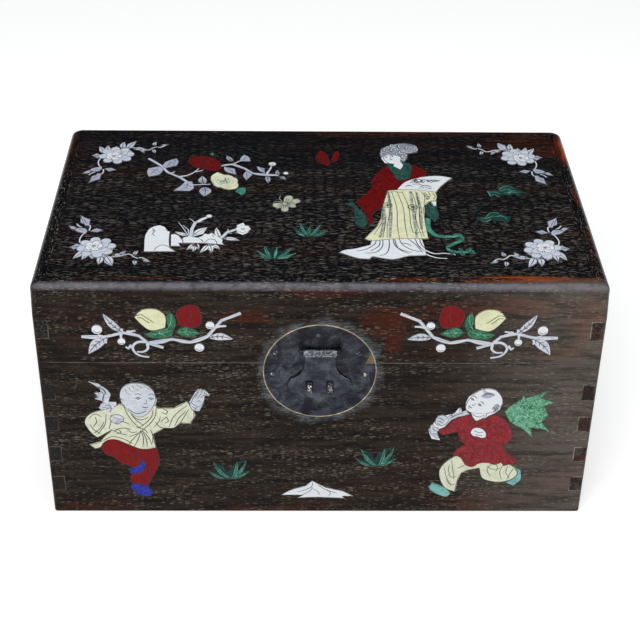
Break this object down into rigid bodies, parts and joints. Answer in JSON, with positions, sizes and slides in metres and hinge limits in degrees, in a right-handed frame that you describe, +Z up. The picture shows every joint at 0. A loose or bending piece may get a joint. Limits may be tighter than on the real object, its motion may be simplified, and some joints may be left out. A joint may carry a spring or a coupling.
{
  "type": "storage chest",
  "caption": "Small wooden storage chest with finger-jointed corners, inlaid pictures, a round lock plate with a cloud-shaped hasp, a hinged lid and side bail handles.",
  "frame": {"origin": "middle of the footprint, on the surface it stands on", "axes": "+Z up, +X along the chest's width to the right as seen from the front, the front faces -Y"},
  "size_m": [0.3958, 0.2374, 0.1952],
  "materials": {
    "wood": "dark hardwood, rubbed satin finish",
    "teal_stone": "polished teal stone",
    "pearl": "polished shell, pearly",
    "brass": "darkened brass",
    "green_stone": "polished green stone",
    "red_stone": "polished red stone",
    "cream_stone": "polished cream stone",
    "blue_stone": "polished blue stone",
    "plate_metal": "dark patinated metal, satin",
    "pale_green_stone": "polished pale green stone"
  },
  "bodies": {
    "body": {"body_back_board": "wood", "body_bottom_panel": "wood", "body_front_board": "wood", "body_left_board": "wood", "body_right_board": "wood", "front_grass_tufts": "teal_stone", "front_mountain": "pearl", "handle_left_ring_pins": "brass", "handle_right_ring_pins": "brass", "hinge_body_nails": "brass", "hinge_left_body_leaf": "brass", "hinge_left_pin": "brass", "hinge_right_body_leaf": "brass", "hinge_right_pin": "brass", "left_boy_branch": "pearl", "left_boy_head_and_hands": "pearl", "left_boy_jacket": "cream_stone", "left_boy_shoes": "blue_stone", "left_boy_trousers": "red_stone", "lock_eyes": "brass", "lock_plate_lower": "plate_metal", "lock_plate_lower_nails": "brass", "right_boy_head_hands_and_stem": "pearl", "right_boy_lotus_leaf": "pale_green_stone", "right_boy_shoes": "teal_stone", "right_boy_trousers": "cream_stone", "right_boy_tunic": "red_stone"},
    "lid": {"hinge_left_lid_leaf": "brass", "hinge_lid_nails": "brass", "hinge_right_lid_leaf": "brass", "lady_collar_and_ribbons": "green_stone", "lady_face_and_hand": "pearl", "lady_fan": "pearl", "lady_hair": "pearl", "lady_robe": "red_stone", "lady_skirt": "cream_stone", "lady_underskirt": "pearl", "lid_back_board": "wood", "lid_front_board": "wood", "lid_front_green_leaves": "green_stone", "lid_front_red_peaches": "red_stone", "lid_front_stems": "pearl", "lid_front_yellow_peaches": "cream_stone", "lid_left_board": "wood", "lid_right_board": "wood", "lid_top_panel": "wood", "lock_hasp_pin": "brass", "lock_plate_upper": "plate_metal", "lock_plate_upper_nails": "brass", "top_corner_sprays": "pearl", "top_cream_butterfly": "cream_stone", "top_flowering_branch": "pearl", "top_grass_and_buds": "teal_stone", "top_red_butterfly": "red_stone", "top_red_flower": "red_stone", "top_rocks": "pearl", "top_yellow_flower": "cream_stone"},
    "hasp": {"lock_hasp": "plate_metal"},
    "handle_left": {"handle_left_bail": "brass"},
    "handle_right": {"handle_right_bail": "brass"}
  },
  "joints": [
    {"name": "lid_hinge", "type": "hinge", "parent": "body", "child": "lid", "pos_m": [0, 0.11545, 0.132], "axis": [-1, 0, 0], "range_deg": [0, 110]},
    {"name": "hasp_hinge", "type": "hinge", "parent": "lid", "child": "hasp", "pos_m": [0, -0.1153, 0.143], "axis": [-1, 0, 0], "range_deg": [0, 170]},
    {"name": "handle_left_hinge", "type": "hinge", "parent": "body", "child": "handle_left", "pos_m": [-0.1946, 0, 0.096], "axis": [0, 1, 0], "range_deg": [0, 170]},
    {"name": "handle_right_hinge", "type": "hinge", "parent": "body", "child": "handle_right", "pos_m": [0.1946, 0, 0.096], "axis": [0, -1, 0], "range_deg": [0, 170]}
  ]
}
